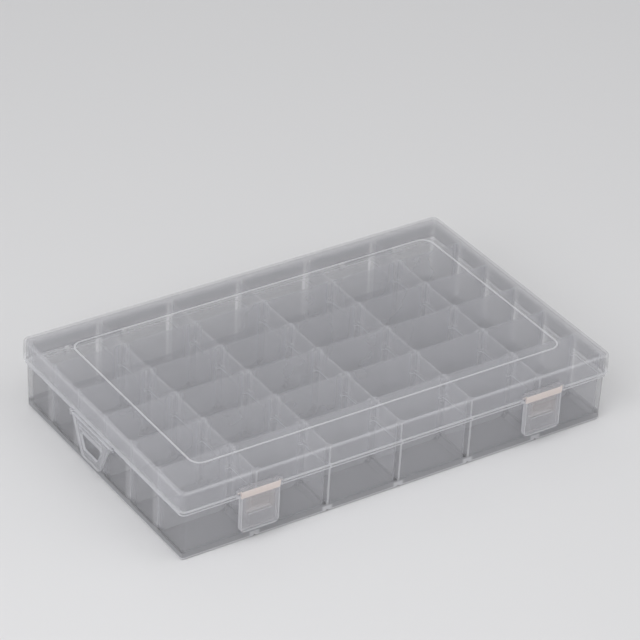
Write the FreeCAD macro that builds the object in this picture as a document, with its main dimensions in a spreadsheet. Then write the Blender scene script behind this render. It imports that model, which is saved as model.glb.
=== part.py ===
"""Compartment storage box of translucent polypropylene.

A tray of six troughs takes thirty loose dividers in moulded guide ribs. A lid with a deep skirt
turns on two snap-on hinges behind, two latches close it in front, and a loop on the left end hangs
the box on a peg. X runs along the box, -Y is the latch side, Z is up and the tray stands on Z = 0.
"""
import FreeCAD, Part
import math
import os
import re
import Sketcher

COLUMNS = 6
ROWS = 6
LEFT = -1
RIGHT = 1
MATCH = 1e-5

# Driving sizes in millimetres, angles in degrees
SIZES = {
    # whole box
    "box_length": 274.0,
    "box_depth": 176.0,
    "box_height": 44.0,
    "draft_angle": 1.2,
    "cut_overrun": 2.0,
    # lid
    "lid_height": 12.4,
    "lid_corner": 4.5,
    "lid_wall": 1.5,
    "lid_plate": 1.4,
    "lid_edge_round": 1.8,
    "bead_inset": 19.5,
    "bead_width": 1.0,
    "bead_height": 0.4,
    "bead_corner": 7.0,
    # tray shell
    "tray_inset": 2.2,
    "tray_wall": 1.2,
    "tray_floor": 1.3,
    "tray_foot_bevel": 1.0,
    "tray_top_gap": 0.6,
    "neck_step": 0.6,
    "ledge_gap": 0.3,
    "ledge_height": 2.3,
    "ledge_out": 1.0,
    # troughs
    "column_wall": 1.2,
    "end_trim": 1.7,
    "cell_corner": 3.5,
    "trough_bevel": 2.4,
    "groove_half_width": 3.4,
    "groove_height": 2.0,
    "groove_round": 4.6,
    # guide ribs and dividers
    "rib_depth": 2.2,
    "rib_thick": 1.6,
    "rib_drop": 0.8,
    "divider_thick": 1.1,
    "divider_drop": 0.2,
    "divider_corner": 5.5,
    "divider_end_gap": 0.22,
    "slot_gap": 0.15,
    # lid hinges
    "fit_gap": 0.05,
    "hinge_drop": 2.4,
    "hinge_pin_radius": 1.1,
    "knuckle_radius": 2.0,
    "knuckle_length": 31.0,
    "knuckle_slot": 1.8,
    "knuckle_root": 0.8,
    "hinge_gap": 0.35,
    "hinge_lug_thick": 4.0,
    "hinge_gusset": 6.5,
    # latches
    "latch_rise": 2.3,
    "latch_width": 23.5,
    "bar_half": 2.3,
    "latch_gap": 0.3,
    "bar_round": 1.0,
    "pivot_radius": 1.0,
    "pivot_reach": 1.5,
    "latch_ear_thick": 2.0,
    "latch_ear_rise": 2.2,
    "latch_ear_set": 0.3,
    "latch_ear_round": 0.8,
    "flap_set": 0.3,
    "flap_thick": 1.4,
    "flap_drop": 25.0,
    "flap_corner": 3.0,
    "flap_rim": 1.3,
    "flap_rim_depth": 1.2,
    "hook_width": 14.4,
    "hook_drop": 13.9,
    "hook_height": 1.0,
    "hook_slope": 1.4,
    "hook_reach": 2.0,
    "hook_gap": 0.3,
    "catch_width": 15.0,
    "catch_out": 1.8,
    "catch_top_out": 0.8,
    # hang loop
    "loop_standoff": 0.95,
    "loop_hang": 1.6,
    "loop_shift": 8.0,
    "loop_top_half": 20.0,
    "loop_foot_half": 9.5,
    "loop_top": 0.7,
    "loop_drop": 20.5,
    "loop_thick": 1.3,
    "loop_corner": 4.0,
    "loop_bar_radius": 0.8,
    "loop_pin_radius": 0.6,
    "loop_pin_reach": 1.8,
    "loop_strip": 5.0,
    "loop_hole_top": 6.0,
    "loop_hole_foot": 15.3,
    "loop_hole_corner": 1.5,
    "loop_groove_first": 2.0,
    "loop_groove_pitch": 2.0,
    "loop_groove_width": 0.7,
    "loop_groove_depth": 0.3,
    "loop_lug_gap": 0.25,
    "loop_lug_thick": 2.2,
    "loop_lug_gusset": 3.0,
    "loop_lug_round": 0.5,
}

# Places worked out from the sizes
PLACES = {
    "lid_half_length": "box_length / 2",
    "lid_half_depth": "box_depth / 2 - bar_half",
    "rim_level": "box_height - lid_height",
    "lid_top": "box_height - bead_height",
    "lid_under": "lid_top - lid_plate",
    "ledge_top": "rim_level - ledge_gap",
    "ledge_foot": "ledge_top - ledge_height",
    "tray_top": "lid_under - tray_top_gap",
    "tray_half_length": "lid_half_length - tray_inset",
    "tray_half_depth": "lid_half_depth - tray_inset",
    "tray_corner": "lid_corner - tray_inset",
    "neck_half_length": "tray_half_length - neck_step",
    "neck_half_depth": "tray_half_depth - neck_step",
    "neck_corner": "tray_corner - neck_step",
    "cell_half_length": "neck_half_length - tray_wall",
    "cell_half_depth": "neck_half_depth - tray_wall",
    "wall_middle_x": "cell_half_length + tray_wall / 2",
    "wall_middle_y": "cell_half_depth + tray_wall / 2",
    "trough_width": f"(2 * cell_half_length - {COLUMNS - 1} * column_wall + 2 * end_trim) / {COLUMNS}",
    "column_pitch": "trough_width + column_wall",
    "end_trough_width": "trough_width - end_trim",
    "cell_depth": f"(2 * cell_half_depth - {ROWS - 1} * divider_thick + 2 * end_trim) / {ROWS}",
    "row_pitch": "cell_depth + divider_thick",
    "divider_half_width": "end_trough_width / 2 - divider_end_gap",
    "divider_height": "tray_top - divider_drop - tray_floor",
    "slot_half": "divider_thick / 2 + slot_gap",
    "rib_height": "tray_top - rib_drop - tray_floor",
    "fitting_x": "2 * column_pitch",
    "hinge_y": "box_depth / 2 - knuckle_radius",
    "hinge_level": "rim_level - hinge_drop",
    "hinge_bore": "hinge_pin_radius + fit_gap",
    "hinge_reach": "knuckle_length / 2 + hinge_gap",
    "bar_flat": "bar_half - bar_round",
    "bar_swing": "bar_flat * sqrt(2) + bar_round",
    "latch_level": "rim_level + latch_rise",
    "latch_notch_half": "latch_width / 2 + latch_gap",
    "ear_front": "box_depth / 2 - latch_ear_set",
    "flap_front": "flap_set - bar_half",
    "flap_back": "flap_front + flap_thick",
    "catch_foot": "latch_level - hook_drop + hook_gap",
    "loop_x": "-tray_half_length - loop_standoff",
    "loop_level": "ledge_foot - loop_hang",
    "loop_face": "-lid_half_length - loop_x",
    "loop_slope": "(loop_top_half - loop_foot_half) / (loop_top + loop_drop)",
    "loop_hole_top_half": "loop_top_half - loop_slope * (loop_top + loop_hole_top) - loop_strip",
    "loop_hole_foot_half": "loop_top_half - loop_slope * (loop_top + loop_hole_foot) - loop_strip",
    "loop_lug_face": "loop_top_half + loop_lug_gap",
}

doc = FreeCAD.newDocument("storage_box")
sheet = doc.addObject("Spreadsheet::Sheet", "Sizes")


def fill_sheet():
    """Write every driving size to the sheet, one aliased cell each."""
    for row, (alias, size) in enumerate(SIZES.items(), start=1):
        sheet.set(f"A{row}", alias)
        sheet.set(f"B{row}", str(size))
        sheet.setAlias(f"B{row}", alias)
    doc.recompute()


def bind(text):
    """Tie each size in an expression to its cell, and spell out each place."""
    def swap(match):
        name = match.group(0)
        if name in SIZES:
            return f"Sizes.{name}"
        if name in PLACES:
            return f"({bind(PLACES[name])})"
        return name
    return re.sub(r"[a-z_]+", swap, text)


def value(text):
    """Give the number that an expression comes to."""
    return float(sheet.evalExpression(bind(text)))


def new_body(label):
    """Start a sub-part whose label names its node."""
    body = doc.addObject("PartDesign::Body", label)
    body.Label = label
    return body


def place(body, x="0", y="0", z="0"):
    """Bind a body's position to the sheet."""
    for axis, text in zip("xyz", (x, y, z)):
        body.setExpression(f"Placement.Base.{axis}", bind(text))


def origin_feature(body, role):
    """Find a plane or an axis of the body's own origin."""
    return next(item for item in body.Origin.OriginFeatures if item.Role == role)


def new_sketch(body, name, plane, level="0"):
    """Attach a sketch to an origin plane of its body, moved along the plane's normal by level."""
    sketch = body.newObject("Sketcher::SketchObject", name)
    sketch.AttachmentSupport = (origin_feature(body, plane), [""])
    sketch.MapMode = "FlatFace"
    sketch.setExpression("AttachmentOffset.Base.z", bind(level))
    return sketch


def constrain(sketch, ties):
    """Add constraints, and bind those that come with an expression to the sheet."""
    indices = sketch.addConstraint([Sketcher.Constraint(*terms) for terms, _ in ties])
    for index, (_, text) in zip(indices, ties):
        if text:
            sketch.setExpression(f"Constraints[{index}]", bind(text))


def tie_point(edge, end, x, y):
    """Pin one end of an edge at a place measured from the sketch's origin."""
    return [
        (("DistanceX", -1, 1, edge, end, value(x)), x),
        (("DistanceY", -1, 1, edge, end, value(y)), y),
    ]


def arc_between(start, end, radius):
    """Make the short arc from start to end, turning left if radius is positive and right if not."""
    chord = end - start
    side = math.copysign(1, radius)
    rise = math.sqrt(radius ** 2 - (chord.Length / 2) ** 2)
    normal = FreeCAD.Vector(-chord.y, chord.x, 0).normalize()
    centre = (start + end) / 2 + normal * side * rise
    first, last = (start, end) if side > 0 else (end, start)
    angles = [math.atan2(point.y - centre.y, point.x - centre.x) for point in (first, last)]
    if angles[1] < angles[0]:
        angles[1] += 2 * math.pi
    circle = Part.Circle(centre, FreeCAD.Vector(0, 0, 1), abs(radius))
    return Part.ArcOfCircle(circle, *angles)


def outline(sketch, points):
    """Draw a closed outline through points, each (x, y) or (x, y, radius of the arc to the next)."""
    corners = [FreeCAD.Vector(value(point[0]), value(point[1]), 0) for point in points]
    edges, ends, ties = [], [], []
    first = sketch.GeometryCount
    for index, point in enumerate(points):
        start, end = corners[index], corners[(index + 1) % len(points)]
        radius = value(point[2]) if len(point) > 2 else None
        edges.append(arc_between(start, end, radius) if radius else Part.LineSegment(start, end))
        ends.append((2, 1) if radius and radius < 0 else (1, 2))
    sketch.addGeometry(edges)
    for index, point in enumerate(points):
        edge, after = first + index, first + (index + 1) % len(points)
        ties.append((("Coincident", edge, ends[index][1], after, ends[after - first][0]), None))
        ties += tie_point(edge, ends[index][0], point[0], point[1])
        if len(point) > 2:
            size = point[2].lstrip("-")
            ties.append((("Radius", edge, value(size)), size))
    constrain(sketch, ties)


def rectangle(sketch, x0, y0, x1, y1):
    """Draw a plain rectangle between two corners."""
    outline(sketch, [(x0, y0), (x1, y0), (x1, y1), (x0, y1)])


def rounded_rectangle(sketch, x0, y0, x1, y1, radius):
    """Draw a rectangle with four equal rounded corners, its sides tangent to the arcs."""
    left, low, right, high, round_ = (value(text) for text in (x0, y0, x1, y1, radius))
    turns = [(right - round_, low + round_), (right - round_, high - round_),
             (left + round_, high - round_), (left + round_, low + round_)]
    edges = []
    for index, (x, y) in enumerate(turns):
        start_angle = (index - 1) * math.pi / 2
        circle = Part.Circle(FreeCAD.Vector(x, y, 0), FreeCAD.Vector(0, 0, 1), round_)
        edges.append(Part.ArcOfCircle(circle, start_angle, start_angle + math.pi / 2))
    arcs = list(edges)
    for index, arc in enumerate(arcs):
        edges.append(Part.LineSegment(arc.EndPoint, arcs[(index + 1) % len(arcs)].StartPoint))
    first = sketch.GeometryCount
    sketch.addGeometry(edges)
    ties = []
    for index in range(len(arcs)):
        arc, line = first + index, first + len(arcs) + index
        after = first + (index + 1) % len(arcs)
        ties.append((("Tangent", arc, 2, line, 1), None))
        ties.append((("Tangent", line, 2, after, 1), None))
        ties.append((("Radius", arc, round_), radius))
    east, north, west, south = (first + len(arcs) + index for index in range(len(arcs)))
    ties += [(("Vertical", east), None), (("Horizontal", north), None),
             (("Vertical", west), None), (("Horizontal", south), None)]
    ties += [(("DistanceX", -1, 1, east, 1, right), x1), (("DistanceX", -1, 1, west, 1, left), x0),
             (("DistanceY", -1, 1, north, 1, high), y1), (("DistanceY", -1, 1, south, 1, low), y0)]
    constrain(sketch, ties)


def circle_at(sketch, x, y, radius):
    """Draw a circle about a place measured from the sketch's origin."""
    centre = FreeCAD.Vector(value(x), value(y), 0)
    edge = sketch.addGeometry(Part.Circle(centre, FreeCAD.Vector(0, 0, 1), value(radius)))
    constrain(sketch, tie_point(edge, 3, x, y) + [(("Radius", edge, value(radius)), radius)])


def extrude(body, kind, sketch, length, side="One side", backward=False, taper=None):
    """Add a Pad or a Pocket of a sketch, with its length and taper bound to the sheet."""
    feature = body.newObject(f"PartDesign::{kind}", f"{sketch.Name}{kind}")
    feature.Profile = sketch
    feature.SideType = side
    feature.Reversed = backward
    feature.setExpression("Length", bind(length))
    if taper:
        feature.setExpression("TaperAngle", bind(taper))
    doc.recompute()
    return feature


def dress(body, kind, base, name, size, chosen):
    """Put a Fillet or a Chamfer on the edges of a feature that the test picks out."""
    names = [f"Edge{index}" for index, edge in enumerate(base.Shape.Edges, start=1) if chosen(edge)]
    feature = body.newObject(f"PartDesign::{kind}", name)
    feature.Base = (base, names)
    feature.setExpression("Radius" if kind == "Fillet" else "Size", bind(size))
    doc.recompute()
    return feature


def same(first, second):
    """Tell whether two measures agree."""
    return math.isclose(first, second, abs_tol=MATCH)


def flat_at(level):
    """Test for edges that lie flat at one level."""
    height = value(level)
    return lambda edge: same(edge.BoundBox.ZMin, height) and same(edge.BoundBox.ZMax, height)


def along_x(y, z):
    """Test for edges that run along X at one place, on either side of the middle."""
    side, level = value(y), value(z)

    def chosen(edge):
        first, last = edge.Vertexes[0].Point, edge.Vertexes[-1].Point
        level_ends = same(first.z, level) and same(last.z, level)
        return level_ends and same(first.y, last.y) and same(abs(first.y), side)
    return chosen


def mirror(body, name, originals, plane="YZ_Plane"):
    """Repeat features on the other side of an origin plane."""
    feature = body.newObject("PartDesign::Mirrored", name)
    feature.Originals = originals
    feature.MirrorPlane = (origin_feature(body, plane), [""])
    body.Tip = feature
    doc.recompute()
    return feature


def pattern(body, name, originals, axis, spacing, count):
    """Repeat features along an origin axis."""
    feature = body.newObject("PartDesign::LinearPattern", name)
    feature.Originals = originals
    feature.Direction = (origin_feature(body, axis), [""])
    feature.Mode = "Spacing"
    feature.setExpression("Offset", bind(spacing))
    feature.Occurrences = count
    body.Tip = feature
    return feature


def centred_plan(body, name, level, half_x, half_y, corner):
    """Sketch a rounded rectangle about the box's middle, seen from above."""
    sketch = new_sketch(body, name, "XY_Plane", level)
    rounded_rectangle(sketch, f"-({half_x})", f"-({half_y})", half_x, half_y, corner)
    return sketch


def trough_sides(column):
    """Give the left and right sides of a trough as expressions."""
    left = f"({column - COLUMNS // 2}) * column_pitch + column_wall / 2"
    right = f"({column + 1 - COLUMNS // 2}) * column_pitch - column_wall / 2"
    if column == 0:
        left = "-cell_half_length"
    if column == COLUMNS - 1:
        right = "cell_half_length"
    return left, right


def row_place(row):
    """Give the place of a divider between two rows of cells, counted from the front."""
    return f"({row - ROWS // 2}) * row_pitch"


def add_tray_shell(body):
    """Draw the drafted tray, its neck inside the lid and the ledge under the lid's rim."""
    plan = centred_plan(body, "Tray", "ledge_top", "tray_half_length", "tray_half_depth", "tray_corner")
    block = extrude(body, "Pad", plan, "ledge_top", backward=True, taper="-draft_angle")
    dress(body, "Chamfer", block, "TrayFoot", "tray_foot_bevel", flat_at("0"))
    plan = centred_plan(body, "Neck", "ledge_top", "neck_half_length", "neck_half_depth", "neck_corner")
    extrude(body, "Pad", plan, "tray_top - ledge_top")
    plan = centred_plan(body, "Ledge", "ledge_top", "tray_half_length + ledge_out",
                        "tray_half_depth + ledge_out", "tray_corner + ledge_out")
    extrude(body, "Pad", plan, "ledge_height", backward=True)
    relief = new_sketch(body, "HingeRelief", "XY_Plane", "ledge_top")
    for side in (LEFT, RIGHT):
        middle = f"{side} * fitting_x"
        rectangle(relief, f"{middle} - hinge_reach", "hinge_y - knuckle_radius - hinge_gap",
                  f"{middle} + hinge_reach", "tray_half_depth + ledge_out + cut_overrun")
    extrude(body, "Pocket", relief, "ledge_height")


def add_troughs(body):
    """Hollow out the six troughs and bevel the edges of their floors."""
    plan = new_sketch(body, "Troughs", "XY_Plane", "tray_top")
    for column in range(COLUMNS):
        left, right = trough_sides(column)
        rounded_rectangle(plan, left, "-cell_half_depth", right, "cell_half_depth", "cell_corner")
    hollow = extrude(body, "Pocket", plan, "tray_top - tray_floor")
    dress(body, "Chamfer", hollow, "TroughFloors", "trough_bevel", flat_at("tray_floor"))


def add_guide_ribs(body):
    """Stand a pair of ribs at each side of every divider, on the column walls and on the end walls."""
    rows = [row_place(row) for row in range(1, ROWS)]
    ribs = new_sketch(body, "ColumnRibs", "XY_Plane", "tray_floor")
    wall = f"({1 - COLUMNS // 2}) * column_pitch"
    reach = "(column_wall / 2 + rib_depth)"
    for row in rows:
        rectangle(ribs, f"{wall} - {reach}", f"{row} - slot_half - rib_thick",
                  f"{wall} + {reach}", f"{row} - slot_half")
        rectangle(ribs, f"{wall} - {reach}", f"{row} + slot_half",
                  f"{wall} + {reach}", f"{row} + slot_half + rib_thick")
    column = extrude(body, "Pad", ribs, "rib_height")
    pattern(body, "ColumnRibPattern", [column], "X_Axis", "column_pitch", COLUMNS - 1)
    ends = new_sketch(body, "EndRibs", "XY_Plane", "tray_floor")
    for row in rows:
        rectangle(ends, "-wall_middle_x", f"{row} - slot_half - rib_thick",
                  "-cell_half_length + rib_depth", f"{row} - slot_half")
        rectangle(ends, "-wall_middle_x", f"{row} + slot_half",
                  "-cell_half_length + rib_depth", f"{row} + slot_half + rib_thick")
    end = extrude(body, "Pad", ends, "rib_height")
    mirror(body, "EndRibMirror", [end])


def add_grooves(body):
    """Cut the cusped grooves under the column walls, where the rounded troughs meet."""
    sketch = new_sketch(body, "Grooves", "XZ_Plane")
    for column in range(1, COLUMNS):
        middle = f"({column - COLUMNS // 2}) * column_pitch"
        outline(sketch, [
            (f"{middle} - groove_half_width", "-cut_overrun"),
            (f"{middle} + groove_half_width", "-cut_overrun"),
            (f"{middle} + groove_half_width", "0", "-groove_round"),
            (middle, "groove_height", "-groove_round"),
            (f"{middle} - groove_half_width", "0"),
        ])
    extrude(body, "Pocket", sketch, "box_depth", side="Symmetric")


def add_hinge_lugs(body):
    """Stand two gusseted lugs with a pin between them behind each end of the tray."""
    round_top = "hinge_level + knuckle_radius"
    lugs = []
    for name, side in (("OuterLug", LEFT), ("InnerLug", RIGHT)):
        middle = f"-fitting_x + ({side}) * (hinge_reach + hinge_lug_thick / 2)"
        sketch = new_sketch(body, name, "YZ_Plane", middle)
        outline(sketch, [
            ("wall_middle_y", "hinge_level - hinge_gusset"),
            ("hinge_y", "hinge_level - knuckle_radius", "knuckle_radius"),
            ("hinge_y + knuckle_radius", "hinge_level", "knuckle_radius"),
            ("hinge_y", round_top),
            ("wall_middle_y", round_top),
        ])
        lugs.append(extrude(body, "Pad", sketch, "hinge_lug_thick", side="Symmetric"))
    pin = new_sketch(body, "HingePin", "YZ_Plane", "-fitting_x")
    circle_at(pin, "hinge_y", "hinge_level", "hinge_pin_radius")
    length = "2 * hinge_reach + hinge_lug_thick"
    lugs.append(extrude(body, "Pad", pin, length, side="Symmetric"))
    mirror(body, "HingeLugMirror", lugs)


def add_catches(body):
    """Stand a ramped catch under the ledge for each latch's hook."""
    sketch = new_sketch(body, "Catch", "YZ_Plane", "-fitting_x")
    outline(sketch, [
        ("-wall_middle_y", "catch_foot"),
        ("-wall_middle_y", "ledge_foot + ledge_height / 2"),
        ("-tray_half_depth - catch_top_out", "ledge_foot + ledge_height / 2"),
        ("-tray_half_depth - catch_top_out", "ledge_foot"),
        ("-tray_half_depth - catch_out", "catch_foot"),
    ])
    catch = extrude(body, "Pad", sketch, "catch_width", side="Symmetric")
    mirror(body, "CatchMirror", [catch])


def add_loop_lugs(body):
    """Stand the two bored lugs that carry the hang loop on the left wall."""
    sketch = new_sketch(body, "LoopLug", "XZ_Plane", "loop_lug_face - loop_shift")
    face = "-lid_half_length"
    outline(sketch, [
        ("-wall_middle_x", "loop_level - loop_hang - loop_lug_gusset"),
        ("-wall_middle_x", "ledge_foot + ledge_height / 2"),
        (f"{face} + loop_lug_round", "ledge_foot + ledge_height / 2", "loop_lug_round"),
        (face, "ledge_foot + ledge_height / 2 - loop_lug_round"),
        (face, "loop_level - loop_hang + loop_lug_round"),
    ])
    circle_at(sketch, "loop_x", "loop_level", "loop_pin_radius + fit_gap")
    lug = extrude(body, "Pad", sketch, "loop_lug_thick")
    pattern(body, "LoopLugPattern", [lug], "Y_Axis", "2 * loop_lug_face + loop_lug_thick", 2)


def build_tray():
    """Mould the tray in one piece with everything that is fixed to it."""
    body = new_body("base_tray")
    add_tray_shell(body)
    add_hinge_lugs(body)
    add_catches(body)
    add_loop_lugs(body)
    add_troughs(body)
    add_guide_ribs(body)
    add_grooves(body)
    return body


def add_lid_shell(body):
    """Draw the drafted lid, hollow it from below and lay the thin bead on top."""
    plan = centred_plan(body, "Lid", "rim_level", "lid_half_length", "lid_half_depth", "lid_corner")
    block = extrude(body, "Pad", plan, "lid_top - rim_level", taper="-draft_angle")
    dress(body, "Fillet", block, "LidEdge", "lid_edge_round", flat_at("lid_top"))
    plan = centred_plan(body, "LidHollow", "rim_level", "lid_half_length - lid_wall",
                        "lid_half_depth - lid_wall", "lid_corner - lid_wall")
    extrude(body, "Pocket", plan, "lid_under - rim_level", backward=True, taper="-draft_angle")
    bead = centred_plan(body, "Bead", "lid_top", "lid_half_length - bead_inset",
                        "lid_half_depth - bead_inset", "bead_corner")
    inner_x = "lid_half_length - bead_inset - bead_width"
    inner_y = "lid_half_depth - bead_inset - bead_width"
    rounded_rectangle(bead, f"-({inner_x})", f"-({inner_y})", inner_x, inner_y, "bead_corner - bead_width")
    extrude(body, "Pad", bead, "bead_height")


def add_latch_seats(body):
    """Notch the front skirt for each latch and stand a bored ear at each side of the notch."""
    notch = new_sketch(body, "LatchNotch", "XZ_Plane", "lid_half_depth + cut_overrun")
    rectangle(notch, "-fitting_x - latch_notch_half", "rim_level - cut_overrun",
              "-fitting_x + latch_notch_half", "latch_level + bar_swing + latch_gap")
    cut = extrude(body, "Pocket", notch, "2 * cut_overrun + lid_wall")
    mirror(body, "LatchNotchMirror", [cut])
    ears = []
    top = "latch_level + latch_ear_rise"
    for name, side in (("OuterEar", LEFT), ("InnerEar", RIGHT)):
        middle = f"-fitting_x + ({side}) * (latch_notch_half + latch_ear_thick / 2)"
        ear = new_sketch(body, name, "YZ_Plane", middle)
        outline(ear, [
            ("-ear_front", "rim_level"),
            ("-lid_half_depth + lid_wall", "rim_level"),
            ("-lid_half_depth + lid_wall", top),
            ("-ear_front + latch_ear_round", top, "latch_ear_round"),
            ("-ear_front", f"{top} - latch_ear_round"),
        ])
        ears.append(extrude(body, "Pad", ear, "latch_ear_thick", side="Symmetric"))
    mirror(body, "LatchEarMirror", ears)
    bore = new_sketch(body, "LatchBore", "YZ_Plane", "-fitting_x")
    circle_at(bore, "-lid_half_depth", "latch_level", "pivot_radius + fit_gap")
    length = "2 * (latch_notch_half + latch_ear_thick) + cut_overrun"
    drilled = extrude(body, "Pocket", bore, length, side="Symmetric")
    mirror(body, "LatchBoreMirror", [drilled])


def add_knuckles(body):
    """Hang a slotted knuckle from the rear skirt over each hinge pin."""
    inside = "lid_half_depth - lid_wall"
    sketch = new_sketch(body, "Knuckle", "YZ_Plane", "-fitting_x")
    outline(sketch, [
        (inside, "rim_level"),
        ("hinge_y - knuckle_radius", "hinge_level", "knuckle_radius"),
        ("hinge_y", "hinge_level - knuckle_radius", "knuckle_radius"),
        ("hinge_y + knuckle_radius", "hinge_level", "knuckle_radius"),
        ("hinge_y", "hinge_level + knuckle_radius"),
        ("lid_half_depth - lid_wall / 2", "rim_level + knuckle_root"),
        (inside, "rim_level + knuckle_root"),
    ])
    knuckle = extrude(body, "Pad", sketch, "knuckle_length", side="Symmetric")
    mirror(body, "KnuckleMirror", [knuckle])
    bore = new_sketch(body, "KnuckleBore", "YZ_Plane", "-fitting_x")
    circle_at(bore, "hinge_y", "hinge_level", "hinge_bore")
    bored = extrude(body, "Pocket", bore, "knuckle_length + cut_overrun", side="Symmetric")
    slot = new_sketch(body, "KnuckleSlot", "YZ_Plane", "-fitting_x")
    rectangle(slot, "hinge_y - knuckle_slot / 2", "hinge_level - knuckle_radius - cut_overrun",
              "hinge_y + knuckle_slot / 2", "hinge_level")
    slotted = extrude(body, "Pocket", slot, "knuckle_length + cut_overrun", side="Symmetric")
    mirror(body, "KnuckleSlotMirror", [bored, slotted])


def build_lid():
    """Mould the lid in one piece with its knuckles and latch ears."""
    body = new_body("lid")
    add_lid_shell(body)
    add_latch_seats(body)
    add_knuckles(body)
    return body


def build_latch(label, side):
    """Mould a latch about its pivot: the bar, the dished flap below it and the hook behind the flap."""
    body = new_body(label)
    bar = new_sketch(body, "Bar", "YZ_Plane")
    outline(bar, [
        ("0", "bar_half"),
        ("-bar_flat", "bar_half", "bar_round"),
        ("-bar_half", "bar_flat"),
        ("-bar_half", "-bar_flat", "bar_round"),
        ("-bar_flat", "-bar_half"),
        ("0", "-bar_half", "bar_half"),
        ("bar_half", "0", "bar_half"),
    ])
    extrude(body, "Pad", bar, "latch_width", side="Symmetric")
    pivot = new_sketch(body, "Pivot", "YZ_Plane")
    circle_at(pivot, "0", "0", "pivot_radius")
    extrude(body, "Pad", pivot, "latch_width + 2 * (latch_gap + pivot_reach)", side="Symmetric")
    half = "latch_width / 2"
    flap = new_sketch(body, "Flap", "XZ_Plane", "-flap_front")
    outline(flap, [
        (f"-{half}", "0"),
        (f"-{half}", "flap_corner - flap_drop", "flap_corner"),
        (f"flap_corner - {half}", "-flap_drop"),
        (f"{half} - flap_corner", "-flap_drop", "flap_corner"),
        (half, "flap_corner - flap_drop"),
        (half, "0"),
    ])
    extrude(body, "Pad", flap, "flap_thick + flap_rim_depth", backward=True)
    dish = new_sketch(body, "Dish", "XZ_Plane", "-flap_back")
    inner = f"({half} - flap_rim)"
    foot = "(flap_rim - flap_drop)"
    turn = "flap_corner - flap_rim"
    outline(dish, [
        (f"-{inner}", "-bar_half"),
        (f"-{inner}", f"{foot} + {turn}", turn),
        (f"{turn} - {inner}", foot),
        (f"{inner} - ({turn})", foot, turn),
        (inner, f"{foot} + {turn}"),
        (inner, "-bar_half"),
    ])
    extrude(body, "Pocket", dish, "flap_rim_depth + cut_overrun")
    hook = new_sketch(body, "Hook", "YZ_Plane")
    root = "flap_back - flap_thick / 2"
    tip = "flap_back + hook_reach"
    outline(hook, [
        (root, "-hook_drop - hook_height - hook_slope"),
        ("flap_back", "-hook_drop - hook_height - hook_slope"),
        (tip, "-hook_drop - hook_height"),
        (tip, "-hook_drop"),
        (root, "-hook_drop"),
    ])
    extrude(body, "Pad", hook, "hook_width", side="Symmetric")
    place(body, f"{side} * fitting_x", "-lid_half_depth", "latch_level")
    return body


def build_hang_loop():
    """Mould the loop about its pivot: a pinned bar and a tapered plate with a hole and hinge lines."""
    body = new_body("hang_loop")
    plate = new_sketch(body, "Plate", "YZ_Plane", "loop_face")
    outline(plate, [
        ("-loop_foot_half", "-loop_drop"),
        ("loop_foot_half", "-loop_drop"),
        ("loop_top_half", "loop_top"),
        ("-loop_top_half", "loop_top"),
    ])
    slab = extrude(body, "Pad", plate, "loop_thick")
    dress(body, "Fillet", slab, "PlateFoot", "loop_corner", along_x("loop_foot_half", "-loop_drop"))
    hole = new_sketch(body, "Hole", "YZ_Plane", "loop_face")
    outline(hole, [
        ("-loop_hole_foot_half", "-loop_hole_foot"),
        ("loop_hole_foot_half", "-loop_hole_foot"),
        ("loop_hole_top_half", "-loop_hole_top"),
        ("-loop_hole_top_half", "-loop_hole_top"),
    ])
    opened = extrude(body, "Pocket", hole, "loop_thick", backward=True)
    foot = along_x("loop_hole_foot_half", "-loop_hole_foot")
    head = along_x("loop_hole_top_half", "-loop_hole_top")
    dress(body, "Fillet", opened, "HoleCorners", "loop_hole_corner", lambda edge: foot(edge) or head(edge))
    lines = new_sketch(body, "HingeLines", "YZ_Plane", "loop_face")
    for middle in ("loop_groove_first", "loop_groove_first + loop_groove_pitch"):
        low = f"-({middle} + loop_groove_width / 2)"
        rectangle(lines, "-loop_hole_top_half", low, "loop_hole_top_half", f"{low} + loop_groove_width")
    extrude(body, "Pocket", lines, "loop_groove_depth", backward=True)
    bar = new_sketch(body, "LoopBar", "XZ_Plane")
    circle_at(bar, "0", "0", "loop_bar_radius")
    extrude(body, "Pad", bar, "2 * loop_top_half", side="Symmetric")
    pin = new_sketch(body, "LoopPin", "XZ_Plane")
    circle_at(pin, "0", "0", "loop_pin_radius")
    extrude(body, "Pad", pin, "2 * (loop_lug_face + loop_pin_reach)", side="Symmetric")
    place(body, "loop_x", "loop_shift", "loop_level")
    return body


def build_divider(column, row):
    """Cut one loose divider, rounded at its lower corners, and stand it in its guide ribs."""
    body = new_body(f"divider_c{column + 1}_r{row}")
    sketch = new_sketch(body, "Plate", "XZ_Plane")
    outline(sketch, [
        ("-divider_half_width", "divider_corner", "divider_corner"),
        ("divider_corner - divider_half_width", "0"),
        ("divider_half_width - divider_corner", "0", "divider_corner"),
        ("divider_half_width", "divider_corner"),
        ("divider_half_width", "divider_height"),
        ("-divider_half_width", "divider_height"),
    ])
    extrude(body, "Pad", sketch, "divider_thick", side="Symmetric")
    left, right = trough_sides(column)
    place(body, f"({left} + {right}) / 2", row_place(row), "tray_floor")
    return body


def build_all():
    """Build every sub-part of the box."""
    fill_sheet()
    bodies = [
        build_tray(),
        build_lid(),
        build_latch("latch_left", LEFT),
        build_latch("latch_right", RIGHT),
        build_hang_loop(),
    ]
    bodies += [build_divider(column, row) for column in range(COLUMNS) for row in range(1, ROWS)]
    doc.recompute()
    return bodies


def check(bodies):
    """Stop if any object of the document failed or any sub-part isn't one valid solid."""
    for item in doc.Objects:
        if {"Invalid", "Error"} & set(item.State):
            raise RuntimeError(f"{item.Name} failed: {item.State}")
    for body in bodies:
        if body.Shape.isNull() or not body.Shape.isValid() or len(body.Shape.Solids) != 1:
            raise RuntimeError(f"{body.Label} isn't one valid solid")


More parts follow.
